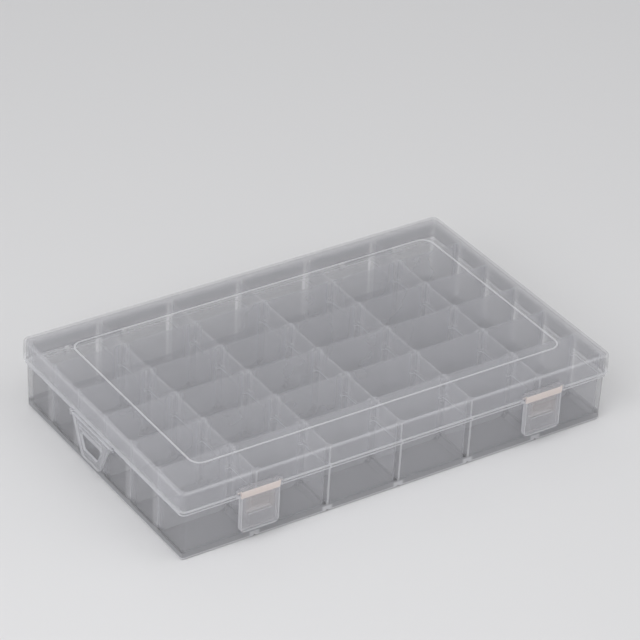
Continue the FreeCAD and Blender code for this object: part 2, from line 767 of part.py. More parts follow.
def write(bodies):
    """Write each sub-part to its own file."""
    os.makedirs("parts", exist_ok=True)
    for body in bodies:
        body.Shape.exportStep(f"parts/{body.Label}.step")
        box = body.Shape.BoundBox
        print(f"{body.Label}: {body.Shape.Volume:.0f} mm3, faces {len(body.Shape.Faces)}, "
              f"z {box.ZMin:.2f} to {box.ZMax:.2f}")


sub_parts = build_all()
check(sub_parts)
write(sub_parts)
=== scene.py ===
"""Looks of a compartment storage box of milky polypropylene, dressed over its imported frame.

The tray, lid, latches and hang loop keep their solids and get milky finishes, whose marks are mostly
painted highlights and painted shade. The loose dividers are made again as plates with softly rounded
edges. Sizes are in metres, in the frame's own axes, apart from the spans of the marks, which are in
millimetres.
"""
import logging
import math
from dataclasses import dataclass
from enum import Enum

import bpy
import numpy as np
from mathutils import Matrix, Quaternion, Vector


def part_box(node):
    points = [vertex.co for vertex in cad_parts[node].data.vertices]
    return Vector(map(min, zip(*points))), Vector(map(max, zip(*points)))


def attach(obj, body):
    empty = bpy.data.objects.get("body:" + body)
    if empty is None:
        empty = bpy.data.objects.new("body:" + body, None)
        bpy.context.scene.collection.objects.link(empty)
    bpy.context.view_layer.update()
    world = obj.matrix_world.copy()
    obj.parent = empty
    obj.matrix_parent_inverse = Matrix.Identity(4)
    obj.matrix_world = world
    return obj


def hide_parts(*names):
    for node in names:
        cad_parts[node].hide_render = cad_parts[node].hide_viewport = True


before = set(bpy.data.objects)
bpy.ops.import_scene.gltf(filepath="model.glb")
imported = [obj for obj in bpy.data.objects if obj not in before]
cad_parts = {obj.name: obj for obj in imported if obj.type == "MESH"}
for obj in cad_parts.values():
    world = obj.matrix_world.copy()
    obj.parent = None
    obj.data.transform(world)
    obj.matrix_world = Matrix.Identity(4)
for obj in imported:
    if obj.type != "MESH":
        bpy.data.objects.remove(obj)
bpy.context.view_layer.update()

LOG = logging.getLogger("storage_box")
MM = 0.001
Colour = tuple[float, float, float]
Socket = bpy.types.NodeSocket


class Axis(Enum):
    """Coordinates that a span is measured along."""

    X = 0
    Y = 1
    Z = 2


class Port(Enum):
    """Kinds of socket that the node groups have."""

    PLACE = "NodeSocketVector"
    NUMBER = "NodeSocketFloat"


class Blend(Enum):
    """What a mix node blends: the node's data type and the ending of its sockets' identifiers."""

    COLOUR = ("RGBA", "Color")
    NUMBER = ("FLOAT", "Float")


class TintAndPaintedLight(Enum):
    """Mark colours, brightest first: painted highlights down to painted shade; PEACH and PIVOT are the
    latches' own.
    """

    EDGE = (0.80, 0.805, 0.835)
    BEAD = (0.78, 0.783, 0.815)
    PIVOT = (0.78, 0.69, 0.655)
    RIM = (0.76, 0.763, 0.795)
    POST = (0.74, 0.743, 0.775)
    FOOT_LINE = (0.70, 0.703, 0.73)
    PEACH = (0.70, 0.655, 0.65)
    COLUMN = (0.66, 0.663, 0.695)
    GROOVE = (0.62, 0.623, 0.65)
    END = (0.46, 0.462, 0.485)
    FAR = (0.43, 0.432, 0.455)
    FOOT = (0.355, 0.357, 0.375)
    FLOOR = (0.30, 0.30, 0.315)


@dataclass(frozen=True)
class Span:
    """Soft range of one coordinate: 1 within its reach of a level, and falling to 0 over its fade beyond.

    Attributes:
        axis: Coordinate that is measured.
        level: Middle of the range, in millimetres.
        reach: Distance from the level that is fully in, in millimetres.
        fade: Distance over which the range ends, in millimetres.
        mirrored: Measure the coordinate without its sign, for both sides at once.
        pitch: Distance at which the range comes again, in millimetres, or 0 for one range.
    """

    axis: Axis
    level: float
    reach: float
    fade: float
    mirrored: bool = False
    pitch: float = 0.0


@dataclass(frozen=True)
class Mark:
    """Place painted brighter or darker than a piece's walls, as highlight or shade, or warmer in the
    plastic's own colour.

    Attributes:
        name: What is there. It labels the mark's nodes.
        tint: Colour there.
        cover: Share of the light that the plastic stops there.
        spans: Ranges that all hold there.
        either: Ranges of which at least one holds there, if any are given.
    """

    name: str
    tint: TintAndPaintedLight
    cover: float
    spans: tuple[Span, ...]
    either: tuple[Span, ...] = ()


@dataclass(frozen=True)
class MilkyFinish:
    """Natural polypropylene: clear head on, milky along its walls, with painted highlights and painted
    shade as marks.

    Attributes:
        name: Name of the material.
        slot: Material slot of the record. It is not used.
        milk: Colour of the light that the wall scatters.
        clear_share: Share of the light that one face lets straight through, seen head on.
        roughness: Mean roughness of the satin skin.
        cloud: How far the milkiness drifts over a wall.
        marks: Places that differ, from the widest to the finest.
        flat: Axis that the wide faces of a plate look along, if its edges show the plastic's depth and a
            painted highlight.
    """

    name: str
    slot: str
    milk: Colour
    clear_share: float
    roughness: float
    cloud: float
    marks: tuple[Mark, ...] = ()
    flat: Axis | None = None


@dataclass(frozen=True)
class Skin:
    """Fine look that all the mouldings share.

    Attributes:
        patches: Scale of the cloudy patches.
        patch_detail: Layers of finer cloud in the patches.
        patch_roughness: Share of the finer cloud.
        grains: Scale of the grain.
        grain_detail: Layers of finer grain.
        grain_strength: Strength of the grain's relief.
        grain_depth: Height of the grain's relief.
        shine_drift: How far the roughness drifts with the cloud.
        least_head_on: Least cosine of the angle of view that thickens a wall.
        edge_cover: Cover at the edges of a plate.
        ior: Refractive index of the plastic.
    """

    patches: float = 22.0
    patch_detail: float = 3.0
    patch_roughness: float = 0.55
    grains: float = 2600.0
    grain_detail: float = 2.0
    grain_strength: float = 0.04
    grain_depth: float = 0.1 * MM
    shine_drift: float = 0.12
    least_head_on: float = 0.12
    edge_cover: float = 0.5
    ior: float = 1.49


class NodeDesk:
    """Adds nodes to one tree and links them, so that a network reads as a list of steps."""

    def __init__(self, tree: bpy.types.NodeTree) -> None:
        """Keep the tree.

        Args:
            tree: Node tree to work on.
        """
        self.tree = tree

    def add(self, kind: str, **values: object) -> bpy.types.Node:
        """Add a node and set its own properties.

        Args:
            kind: Type name of the node.
            values: Properties of the node.

        Returns:
            The new node.
        """
        node = self.tree.nodes.new(kind)
        for name, value in values.items():
            setattr(node, name, value)
        return node

    def feed(self, source: object, target: Socket) -> None:
        """Link a socket to an input, or set the input to a plain value.

        Args:
            source: Socket or value to feed in.
            target: Input that takes it.
        """
        if isinstance(source, Socket):
            self.tree.links.new(source, target)
        else:
            target.default_value = source

    def math(self, operation: str, *values: object, clamp: bool = False) -> Socket:
        """Add a sum of one to three values.

        Args:
            operation: Name of the operation.
            values: Sockets or numbers, in the operation's order.
            clamp: Keep the result between 0 and 1.

        Returns:
            The result's socket.
        """
        node = self.add("ShaderNodeMath", operation=operation, use_clamp=clamp)
        for value, target in zip(values, node.inputs):
            self.feed(value, target)
        return node.outputs[0]

    def blend(self, kind: Blend, share: Socket, first: object, second: object, label: str) -> Socket:
        """Mix two colours or two numbers.

        Args:
            kind: What is mixed.
            share: Share of the second.
            first: First socket or value.
            second: Second socket or value.
            label: Label of the node.

        Returns:
            The mixed value's socket.
        """
        data_type, ending = kind.value
        node = self.add("ShaderNodeMix", data_type=data_type, label=label)
        ports = {port.identifier: port for port in (*node.inputs, *node.outputs)}
        self.feed(share, ports["Factor_Float"])
        self.feed(first, ports[f"A_{ending}"])
        self.feed(second, ports[f"B_{ending}"])
        return ports[f"Result_{ending}"]

    def group(self, tree: bpy.types.NodeTree, **values: object) -> bpy.types.Node:
        """Place a node group and feed its inputs by name.

        Args:
            tree: The group's tree.
            values: Inputs by name.

        Returns:
            The group's node.
        """
        node = self.add("ShaderNodeGroup", node_tree=tree)
        for name, value in values.items():
            self.feed(value, node.inputs[name])
        return node


class FinishShop:
    """Builds the shared node groups once and makes materials from finishes."""

    def __init__(self, skin: Skin) -> None:
        """Keep the skin and build the groups.

        Args:
            skin: Fine look of the mouldings.
        """
        self.skin = skin
        self.haze = self.make_haze()
        self.soft_span = self.make_soft_span()

    @staticmethod
    def open_group(
        name: str, inputs: dict[str, Port], outputs: dict[str, Port]
    ) -> tuple[NodeDesk, dict[str, Socket], dict[str, Socket]]:
        """Start a node group with named sockets.

        Args:
            name: Name of the group.
            inputs: Kinds of the inputs, by name.
            outputs: Kinds of the outputs, by name.

        Returns:
            The group's desk, and the sockets that its inputs come from and its outputs go to, by name.
        """
        tree = bpy.data.node_groups.new(name, "ShaderNodeTree")
        for title, kind in inputs.items():
            tree.interface.new_socket(title, in_out="INPUT", socket_type=kind.value)
        for title, kind in outputs.items():
            tree.interface.new_socket(title, in_out="OUTPUT", socket_type=kind.value)
        desk = NodeDesk(tree)
        entry = desk.add("NodeGroupInput")
        leave = desk.add("NodeGroupOutput")
        return desk, dict(entry.outputs.items()), dict(leave.inputs.items())

    def make_haze(self) -> bpy.types.NodeTree:
        """Build the group that clouds a wall and grains its skin.

        Returns:
            A group with the outputs Cloud, from 0 to 1 in soft patches, and Grain, a fine height.
        """
        desk, entry, leave = self.open_group(
            "milky_haze",
            {"Place": Port.PLACE, "Patches": Port.NUMBER, "Grains": Port.NUMBER},
            {"Cloud": Port.NUMBER, "Grain": Port.NUMBER},
        )
        patches = desk.add("ShaderNodeTexNoise")
        desk.feed(entry["Place"], patches.inputs["Vector"])
        desk.feed(entry["Patches"], patches.inputs["Scale"])
        desk.feed(self.skin.patch_detail, patches.inputs["Detail"])
        desk.feed(self.skin.patch_roughness, patches.inputs["Roughness"])
        grains = desk.add("ShaderNodeTexNoise")
        desk.feed(entry["Place"], grains.inputs["Vector"])
        desk.feed(entry["Grains"], grains.inputs["Scale"])
        desk.feed(self.skin.grain_detail, grains.inputs["Detail"])
        desk.feed(patches.outputs[0], leave["Cloud"])
        desk.feed(grains.outputs[0], leave["Grain"])
        return desk.tree

    def make_soft_span(self) -> bpy.types.NodeTree:
        """Build the group that marks a soft range of a coordinate.

        Returns:
            A group with the output Mask: (reach + fade - |coordinate - level|) / fade, kept from 0 to 1.
        """
        desk, entry, leave = self.open_group(
            "soft_span",
            {name: Port.NUMBER for name in ("Coordinate", "Level", "Reach", "Fade")},
            {"Mask": Port.NUMBER},
        )
        away = desk.math("ABSOLUTE", desk.math("SUBTRACT", entry["Coordinate"], entry["Level"]))
        room = desk.math("SUBTRACT", desk.math("ADD", entry["Reach"], entry["Fade"]), away)
        desk.feed(desk.math("DIVIDE", room, entry["Fade"], clamp=True), leave["Mask"])
        return desk.tree

    def span_mask(self, desk: NodeDesk, axes: list[Socket], span: Span) -> Socket:
        """Place the mask of one span.

        Args:
            desk: Desk of the material.
            axes: Sockets of the three coordinates.
            span: The span.

        Returns:
            The mask's socket.
        """
        coordinate = axes[span.axis.value]
        if span.mirrored:
            coordinate = desk.math("ABSOLUTE", coordinate)
        if span.pitch:
            half = span.pitch / 2
            coordinate = desk.math("WRAP", coordinate, (span.level + half) * MM, (span.level - half) * MM)
        node = desk.group(
            self.soft_span,
            Coordinate=coordinate,
            Level=span.level * MM,
            Reach=span.reach * MM,
            Fade=span.fade * MM,
        )
        return node.outputs["Mask"]

    def mark_mask(self, desk: NodeDesk, axes: list[Socket], mark: Mark) -> Socket:
        """Place the mask of a mark: its spans multiplied, with the greatest of its either spans.

        Args:
            desk: Desk of the material.
            axes: Sockets of the three coordinates.
            mark: The mark.

        Returns:
            The mask's socket.
        """
        masks = [self.span_mask(desk, axes, span) for span in mark.spans]
        choices = [self.span_mask(desk, axes, span) for span in mark.either]
        if choices:
            widest = choices[0]
            for choice in choices[1:]:
                widest = desk.math("MAXIMUM", widest, choice)
            masks.append(widest)
        whole = masks[0]
        for mask in masks[1:]:
            whole = desk.math("MULTIPLY", whole, mask)
        return whole

    @staticmethod
    def edge_mask(desk: NodeDesk, normal: Socket, flat: Axis) -> Socket:
        """Place the mask of a plate's edges: 1 - |n|, with n the normal's part along the flat axis.

        Args:
            desk: Desk of the material.
            normal: Socket of the object's own normal.
            flat: Axis that the plate's wide faces look along.

        Returns:
            The mask's socket.
        """
        split = desk.add("ShaderNodeSeparateXYZ")
        desk.feed(normal, split.inputs[0])
        wide = desk.math("ABSOLUTE", split.outputs[flat.value])
        return desk.math("SUBTRACT", 1.0, wide, clamp=True)

    def wall_cover(self, desk: NodeDesk, cloud: Socket, finish: MilkyFinish) -> Socket:
        """Place the cover of a plain wall: 1 - t to the power (drift / cos of the angle of view).

        A face lets t of the light straight through head on, and less where it is seen at a slant, as a
        wall of one thickness does. Layer Weight's Facing at its own blend is 1 - cos.

        Args:
            desk: Desk of the material.
            cloud: Socket of the haze's patches.
            finish: The finish.

        Returns:
            The cover's socket.
        """
        facing = desk.add("ShaderNodeLayerWeight")
        cosine = desk.math("SUBTRACT", 1.0, facing.outputs["Facing"])
        head_on = desk.math("MAXIMUM", cosine, self.skin.least_head_on)
        drift = desk.math("MULTIPLY_ADD", cloud, 2.0 * finish.cloud, 1.0 - finish.cloud)
        path = desk.math("DIVIDE", drift, head_on)
        return desk.math("SUBTRACT", 1.0, desk.math("POWER", finish.clear_share, path), clamp=True)

    def make(self, finish: MilkyFinish) -> bpy.types.Material:
        """Make a milky material: a plain wall, and its marks, mostly painted light and shade, laid over it
        one after the other.

        Args:
            finish: The finish to make.

        Returns:
            The material.
        """
        skin = self.skin
        material = bpy.data.materials.new(finish.name)
        material.use_nodes = True
        desk = NodeDesk(material.node_tree)
        desk.tree.nodes.clear()
        spot = desk.add("ShaderNodeTexCoord")
        place = spot.outputs["Object"]
        split = desk.add("ShaderNodeSeparateXYZ")
        desk.feed(place, split.inputs[0])
        axes = list(split.outputs)
        haze = desk.group(self.haze, Place=place, Patches=skin.patches, Grains=skin.grains)
        cloud = haze.outputs["Cloud"]
        colour: object = (*finish.milk, 1.0)
        alpha = self.wall_cover(desk, cloud, finish)
        layers = [
            (self.mark_mask(desk, axes, mark), mark.tint, mark.cover, mark.name) for mark in finish.marks
        ]
        # Plate edges: more cover for the plastic's depth seen edge-on, and the bright EDGE colour as a
        # painted highlight.
        if finish.flat is not None:
            mask = self.edge_mask(desk, spot.outputs["Normal"], finish.flat)
            layers.append((mask, TintAndPaintedLight.EDGE, skin.edge_cover, "plate edges"))
        for mask, tint, cover, label in layers:
            colour = desk.blend(Blend.COLOUR, mask, colour, (*tint.value, 1.0), label)
            alpha = desk.blend(Blend.NUMBER, mask, alpha, cover, label)
        shine = desk.math("MULTIPLY_ADD", cloud, skin.shine_drift, finish.roughness - skin.shine_drift / 2)
        bump = desk.add("ShaderNodeBump")
        bump.inputs["Strength"].default_value = skin.grain_strength
        bump.inputs["Distance"].default_value = skin.grain_depth
        desk.feed(haze.outputs["Grain"], bump.inputs["Height"])
        shader = desk.add("ShaderNodeBsdfPrincipled")
        shader.inputs["IOR"].default_value = skin.ior
        desk.feed(colour, shader.inputs["Base Color"])
        desk.feed(shine, shader.inputs["Roughness"])
        desk.feed(alpha, shader.inputs["Alpha"])
        desk.feed(bump.outputs["Normal"], shader.inputs["Normal"])
        output = desk.add("ShaderNodeOutputMaterial")
        desk.feed(shader.outputs["BSDF"], output.inputs["Surface"])
        return material


def dress_node(node: str, material: bpy.types.Material) -> None:
    """Give a node of the frame a material.

    Args:
        node: Name of the node.
        material: Its only material.
    """
    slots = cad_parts[node].data.materials
    slots.clear()
    slots.append(material)
    LOG.info("%s: %s", node, material.name)


def mesh_object(name: str, points: np.ndarray, faces: list[tuple[int, ...]]) -> bpy.types.Object:
    """Put points and faces into a new object at the origin.

    Args:
        name: Name of the object.
        points: Places of the vertices, one row each.
        faces: Indices of each face's corners.

    Returns:
        The linked object.
    """
    mesh = bpy.data.meshes.new(name)
    mesh.from_pydata(points.tolist(), [], faces)
    mesh.polygons.foreach_set("use_smooth", np.ones(len(mesh.polygons), dtype=bool))
    mesh.update()
    item = bpy.data.objects.new(name, mesh)
    bpy.context.scene.collection.objects.link(item)
    return item


def ring_faces(rings: int, around: int) -> np.ndarray:
    """Index the four-sided faces between closed rings of points.

    Args:
        rings: Number of rings.
        around: Points in a ring.

    Returns:
        One row of four indices for each face.
    """
    ring, step = np.meshgrid(np.arange(rings - 1), np.arange(around), indexing="ij")
    here = ring * around + step
    beside = ring * around + (step + 1) % around
    return np.stack([here, beside, beside + around, here + around], axis=-1).reshape(-1, 4)


@dataclass
class DividerSet:
    """The loose dividers: thin plates with rounded lower corners and softly rounded edges.

    Attributes:
        finish: Finish of the plates.
        body: Body that the plates ride on.
        corner: Radius of the lower corners.
        top_corner: Radius of the upper corners.
        edge: Radius of the edges across the thickness.
        corner_steps: Points on a corner.
        edge_steps: Points on half an edge's rounding.
        crease: Angle in degrees from which an edge is shaded sharp.
    """

    finish: MilkyFinish
    body: str = "box"
    corner: float = 5.5 * MM
    top_corner: float = 0.8 * MM
    edge: float = 0.35 * MM
    corner_steps: int = 9
    edge_steps: int = 3
    crease: float = 50.0

    def outline(self, half_width: float, height: float) -> tuple[np.ndarray, np.ndarray]:
        """Work out a plate's outline, seen from the front, with its foot at 0.

        Each corner is a quarter circle: centre + r (cos a, sin a), with a over its own quarter.

        Args:
            half_width: Half the plate's width.
            height: Height of the plate.

        Returns:
            Points of the outline and its outward normals, one row each.
        """
        radii = np.array([self.corner, self.top_corner, self.top_corner, self.corner])
        sides = np.array([1.0, 1.0, -1.0, -1.0])
        rises = np.array([0.0, 1.0, 1.0, 0.0])
        starts = np.array([-0.5, 0.0, 0.5, 1.0]) * math.pi
        turn = np.linspace(0.0, math.pi / 2, self.corner_steps)
        angle = starts[:, None] + turn[None, :]
        normals = np.stack([np.cos(angle), np.sin(angle)], axis=-1)
        across = sides * (half_width - radii)
        up = rises * height + (1.0 - 2.0 * rises) * radii
        centres = np.stack([across, up], axis=-1)[:, None, :]
        points = centres + radii[:, None, None] * normals
        return points.reshape(-1, 2), normals.reshape(-1, 2)

    def plate(self, node: str) -> bpy.types.Object:
        """Make the plate that stands for one divider.

        The outline is carried across the thickness. At a turn b from -90 to 90 degrees of the edge's
        rounding it lies e (1 - cos b) inside the full outline and e sin b out from the rounding's centre.

        Args:
            node: Node of the frame that the plate stands for.

        Returns:
            The plate.
        """
        low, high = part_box(node)
        size = high - low
        outline, normals = self.outline(size.x / 2, size.z)
        half = np.linspace(-math.pi / 2, 0.0, self.edge_steps)
        turn = np.concatenate([half, -half[::-1]])
        inset = self.edge * (1.0 - np.cos(turn))
        side = np.repeat([-1.0, 1.0], self.edge_steps)
        depth = side * (size.y / 2 - self.edge) + self.edge * np.sin(turn)
        flat = outline[None] - inset[:, None, None] * normals[None]
        middle = (low + high) / 2
        along = middle.x + flat[..., 0]
        up = low.z + flat[..., 1]
        out = np.broadcast_to(middle.y + depth[:, None], along.shape)
        points = np.stack([along, out, up], axis=-1).reshape(-1, 3)
        around = len(outline)
        faces = [tuple(face) for face in ring_faces(len(turn), around).tolist()]
        last = len(turn) - 1
        faces.append(tuple(range(around)))
        faces.append(tuple(range((last + 1) * around - 1, last * around - 1, -1)))
        return mesh_object(node.replace("divider", "plate"), points, faces)

    def build(self, shop: FinishShop) -> None:
        """Make every plate, dress it and let it ride in the tray.

        Args:
            shop: Where the finish is made.
        """
        material = shop.make(self.finish)
        for node in sorted(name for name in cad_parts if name.startswith("divider_")):
            plate = self.plate(node)
            plate.data.materials.append(material)
            plate.data.set_sharp_from_angle(angle=math.radians(self.crease))
            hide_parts(node)
            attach(plate, self.body)
            LOG.info("%s: stands for %s", plate.name, node)


@dataclass
class Housing:
    """The tray, the lid, the latches and the hang loop, which keep the frame's own solids.

    Attributes:
        tray: Finish of the tray.
        lid: Finish of the lid.
        latch: Finish of the latches.
        loop: Finish of the hang loop.
    """

    tray: MilkyFinish
    lid: MilkyFinish
    latch: MilkyFinish
    loop: MilkyFinish

    def dress(self, shop: FinishShop) -> None:
        """Give each solid its material.

        Args:
            shop: Where the finishes are made.
        """
        dress_node("base_tray", shop.make(self.tray))
        dress_node("lid", shop.make(self.lid))
        clip = shop.make(self.latch)
        dress_node("latch_left", clip)
        dress_node("latch_right", clip)
        dress_node("hang_loop", shop.make(self.loop))


@dataclass(frozen=True)
class SoftBox:
    """A studio lamp.

    Attributes:
        name: Name of the lamp.
        azimuth: Bearing of the lamp, in degrees from the front, to the right.
        elevation: Height of the lamp above the floor, in degrees.
        distance: Distance from the box.
        size: Side of its square face.
        watts: Power.
    """

    name: str
    azimuth: float
    elevation: float
    distance: float
    size: float
    watts: float


@dataclass
class Studio:
    """Floor, lamps, sky and camera.

    Attributes:
        lamps: The lamps.
        floor_colour: Colour of the floor.
        floor_roughness: Roughness of the floor.
        floor_shine: Strength of the floor's sheen.
        floor_half: Half the floor's depth.
        floor_stretch: Width of the floor as a share of its depth.
        sweep_radius: Radius of the floor's rise into the backdrop.
        sweep_steps: Points on that rise.
        sky_colour: Colour of the even light from all round.
        sky_strength: Strength of that light.
        eye: Place of the camera.
        azimuth: Bearing of the camera, in degrees from the front, to the right.
        elevation: Height of the camera above the floor, in degrees.
        roll: Turn of the camera about its own view, in degrees.
        focal_length: Focal length of the lens in millimetres.
        sensor_width: Width of the camera's picture in millimetres.
        view_end: Distance to which the camera sees.
        wall_steps: Clear walls that a ray may pass.
        light_steps: Times that light may be thrown back.
    """

    lamps: tuple[SoftBox, ...]
    floor_colour: Colour = (0.70, 0.70, 0.71)
    floor_roughness: float = 0.7
    floor_shine: float = 0.2
    floor_half: float = 3.0
    floor_stretch: float = 2.0
    sweep_radius: float = 1.0
    sweep_steps: int = 13
    sky_colour: Colour = (1.0, 1.0, 1.0)
    sky_strength: float = 0.45
    eye: tuple[float, float, float] = (-0.84707, -1.24563, 1.00643)
    azimuth: float = -34.247
    elevation: float = 32.139
    roll: float = 2.786
    focal_length: float = 184.65
    sensor_width: float = 36.0
    view_end: float = 50.0
    wall_steps: int = 96
    light_steps: int = 24

    @staticmethod
    def direction(azimuth: float, elevation: float) -> Vector:
        """Give the direction from the box towards a bearing and a height.

        Args:
            azimuth: Bearing in degrees from the front, to the right.
            elevation: Height above the floor in degrees.

        Returns:
            A vector of length 1.
        """
        turn, rise = math.radians(azimuth), math.radians(elevation)
        level = math.cos(rise)
        return Vector((math.sin(turn) * level, -math.cos(turn) * level, math.sin(rise)))

    def lay_floor(self) -> None:
        """Lay a floor that sweeps up behind: a line, a quarter circle and a line, carried along X."""
        turn = np.linspace(0.0, math.pi / 2, self.sweep_steps)
        rise_y = self.floor_half + self.sweep_radius * np.sin(turn)
        rise_z = self.sweep_radius * (1.0 - np.cos(turn))
        profile_y = np.concatenate([[-self.floor_half], rise_y, rise_y[-1:]])
        profile_z = np.concatenate([[0.0], rise_z, [self.floor_half]])
        along = np.array([-self.floor_half, self.floor_half]) * self.floor_stretch
        x, y = np.meshgrid(along, profile_y, indexing="ij")
        z = np.broadcast_to(profile_z, x.shape)
        points = np.stack([x, y, z], axis=-1).reshape(-1, 3)
        count = len(profile_y)
        step = np.arange(count - 1)
        faces = np.stack([step, step + count, step + count + 1, step + 1], axis=-1)
        floor = mesh_object("studio_floor", points, [tuple(face) for face in faces.tolist()])
        material = bpy.data.materials.new("pale_floor")
        material.use_nodes = True
        shader = material.node_tree.nodes["Principled BSDF"]
        shader.inputs["Base Color"].default_value = (*self.floor_colour, 1.0)
        shader.inputs["Roughness"].default_value = self.floor_roughness
        shader.inputs["Specular IOR Level"].default_value = self.floor_shine
        floor.data.materials.append(material)

    def hang_lamps(self) -> None:
        """Hang each lamp so that it faces the box."""
        for lamp in self.lamps:
            light = bpy.data.lights.new(lamp.name, "AREA")
            light.shape = "SQUARE"
            light.size = lamp.size
            light.energy = lamp.watts
            item = bpy.data.objects.new(lamp.name, light)
            towards = self.direction(lamp.azimuth, lamp.elevation)
            item.location = towards * lamp.distance
            item.rotation_mode = "QUATERNION"
            item.rotation_quaternion = towards.to_track_quat("Z", "Y")
            bpy.context.scene.collection.objects.link(item)

    def light_sky(self) -> None:
        """Light the scene evenly from all round."""
        world = bpy.data.worlds.new("studio_sky")
        world.use_nodes = True
        sky = world.node_tree.nodes["Background"]
        sky.inputs["Color"].default_value = (*self.sky_colour, 1.0)
        sky.inputs["Strength"].default_value = self.sky_strength
        bpy.context.scene.world = world

    def set_camera(self) -> None:
        """Stand the camera where the box is seen from."""
        lens = bpy.data.cameras.new("camera")
        lens.lens = self.focal_length
        lens.sensor_width = self.sensor_width
        lens.clip_end = self.view_end
        camera = bpy.data.objects.new("camera", lens)
        camera.location = self.eye
        camera.rotation_mode = "QUATERNION"
        view = (-self.direction(self.azimuth, self.elevation)).to_track_quat("-Z", "Y")
        camera.rotation_quaternion = view @ Quaternion((0.0, 0.0, 1.0), math.radians(self.roll))
        bpy.context.scene.collection.objects.link(camera)
        bpy.context.scene.camera = camera

    def build(self) -> None:
        """Set the studio up, with enough steps for light to pass through all the walls."""
        self.lay_floor()
        self.hang_lamps()
        self.light_sky()
        self.set_camera()
        scene = bpy.context.scene
        scene.view_settings.view_transform = "Standard"
        scene.cycles.transparent_max_bounces = self.wall_steps
        scene.cycles.max_bounces = self.light_steps


# Places on the box, in millimetres
COLUMN_PITCH = 45.1
ROW_PITCH = 27.983
BOX_END = 137.0
LID_SIDE = 85.7
TRAY_END = 135.0
LATCH_X = 90.2
FLAP_HALF = 11.4
INNER_COLUMNS = Span(Axis.X, 0.0, 95.0, 5.0)


def columns(reach: float, fade: float) -> Span:
    """Give the range at every column wall.

    Args:
        reach: Distance from the wall's middle that is fully in, in millimetres.
        fade: Distance over which the range ends, in millimetres.

    Returns:
        The span, which comes again at the columns' pitch.
    """
    return Span(Axis.X, 0.0, reach, fade, pitch=COLUMN_PITCH)


def outer_walls(reach: float, fade: float) -> tuple[Span, ...]:
    """Give the ranges along the four outer walls.

    Args:
        reach: Distance from the lid's sides that is fully in, in millimetres.
        fade: Distance over which the ranges end, in millimetres.

    Returns:
        One span for the two ends, and one for the front and the back.
    """
    return (
        Span(Axis.X, BOX_END, reach, fade, mirrored=True),
        Span(Axis.Y, LID_SIDE, reach, fade, mirrored=True),
    )


TRAY = MilkyFinish(
    name="milky_tray", slot="tray", milk=(0.62, 0.623, 0.655), clear_share=0.86, roughness=0.32, cloud=0.12,
    marks=(
        # Painted shade: the floor of the tray is painted dark and nearly opaque.
        Mark("floor", TintAndPaintedLight.FLOOR, 0.72, (Span(Axis.Z, 0.0, 3.6, 1.8),)),
        # Painted shade: the end walls of the tray are painted darker.
        Mark("end walls", TintAndPaintedLight.END, 0.24, (
            Span(Axis.X, TRAY_END, 2.0, 0.5, mirrored=True),
            Span(Axis.Z, 16.0, 12.0, 2.0),
        )),
        # Painted shade: the right end and the back wall of the tray are painted darker.
        Mark("far walls", TintAndPaintedLight.FAR, 0.40, (Span(Axis.Z, 20.0, 18.0, 3.0),), (
            Span(Axis.X, TRAY_END, 2.0, 0.5),
            Span(Axis.Y, 83.4, 2.0, 0.5),
        )),
        # Painted light: the column walls are painted lighter, as where light falls on them.
        Mark("column walls", TintAndPaintedLight.COLUMN, 0.26, (
            columns(0.8, 0.3),
            INNER_COLUMNS,
            Span(Axis.Z, 23.0, 18.0, 2.0),
        )),
        # Painted highlight: the guide ribs are painted lighter.
        Mark("guide ribs", TintAndPaintedLight.POST, 0.28, (
            Span(Axis.Y, 0.0, 2.3, 0.4, pitch=ROW_PITCH),
            Span(Axis.Y, 0.0, 65.0, 5.0),
            columns(2.9, 0.4),
            Span(Axis.Z, 24.0, 19.0, 3.0),
        )),
        # Painted highlight: bright lines where the column walls meet the back wall.
        Mark("column ends behind", TintAndPaintedLight.EDGE, 0.24, (
            columns(0.5, 0.3),
            Span(Axis.Y, 85.0, 2.5, 0.5),
        )),
        # Painted highlight: bright lines where the column walls meet the front wall.
        Mark("column ends in front", TintAndPaintedLight.EDGE, 0.45, (
            columns(0.5, 0.3),
            Span(Axis.Y, -85.0, 2.5, 0.5),
        ), (
            Span(Axis.X, 0.0, 60.0, 5.0),
            Span(Axis.Z, 38.0, 6.0, 1.0),
        )),
        # Painted highlight: thin light lines along the tops of the walls.
        Mark("wall tops", TintAndPaintedLight.POST, 0.23, (Span(Axis.Z, 41.6, 0.1, 0.4),)),
        # Painted highlight: a bright line along the tray's ledge.
        Mark("ledge", TintAndPaintedLight.EDGE, 0.50, (Span(Axis.Z, 29.0, 0.2, 0.2),)),
        # Painted shade: the foot of the outer walls is painted dark and nearly opaque.
        Mark("foot", TintAndPaintedLight.FOOT, 0.80, (Span(Axis.Z, 0.0, 3.8, 1.8),), outer_walls(3.0, 0.5)),
        # Painted highlight: lighter edges on the notches at the foot of the front and back walls.
        Mark("groove ends", TintAndPaintedLight.GROOVE, 0.80, (
            columns(2.4, 1.2),
            INNER_COLUMNS,
            Span(Axis.Y, LID_SIDE, 3.0, 0.5, mirrored=True),
            Span(Axis.Z, 1.5, 2.0, 1.0),
        )),
        # Painted highlight: a thin light line along the bottom edge of the outer walls.
        Mark("foot line", TintAndPaintedLight.FOOT_LINE, 0.80, (Span(Axis.Z, 0.9, 0.5, 0.4),), outer_walls(4.0, 0.4)),
    ),
)
